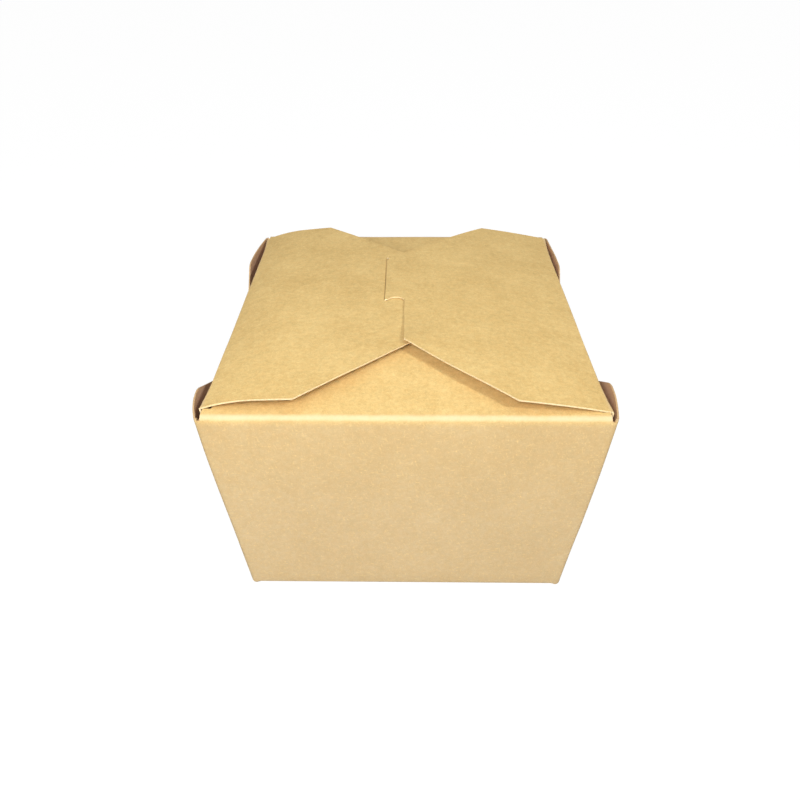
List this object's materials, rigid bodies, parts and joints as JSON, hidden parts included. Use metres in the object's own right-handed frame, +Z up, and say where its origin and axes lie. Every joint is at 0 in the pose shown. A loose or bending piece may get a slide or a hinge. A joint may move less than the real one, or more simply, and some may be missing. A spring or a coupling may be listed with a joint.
{
  "type": "takeaway box",
  "caption": "Folded kraft board takeaway box with flared web corners, crowned side flaps and a tongue tucked into a slit.",
  "frame": {"origin": "middle of the base, on the surface that the box stands on", "axes": "+X across the box to the flap with the tongue, +Y from the front wall to the rear wall, +Z up"},
  "size_m": [0.1112, 0.1302, 0.0696],
  "materials": {
    "kraft_board": "matt natural kraft board, coated inside",
    "kraft_board_flap": "matt natural kraft board, coated inside"
  },
  "bodies": {
    "carton": {"carton": "kraft_board"},
    "right_flap": {"right_flap": "kraft_board_flap"}
  },
  "joints": [
    {"name": "right_flap_hinge", "type": "hinge", "parent": "carton", "child": "right_flap", "pos_m": [0.05241, 0, 0.06377], "axis": [0, 1, 0], "range_deg": [0, 170]}
  ]
}
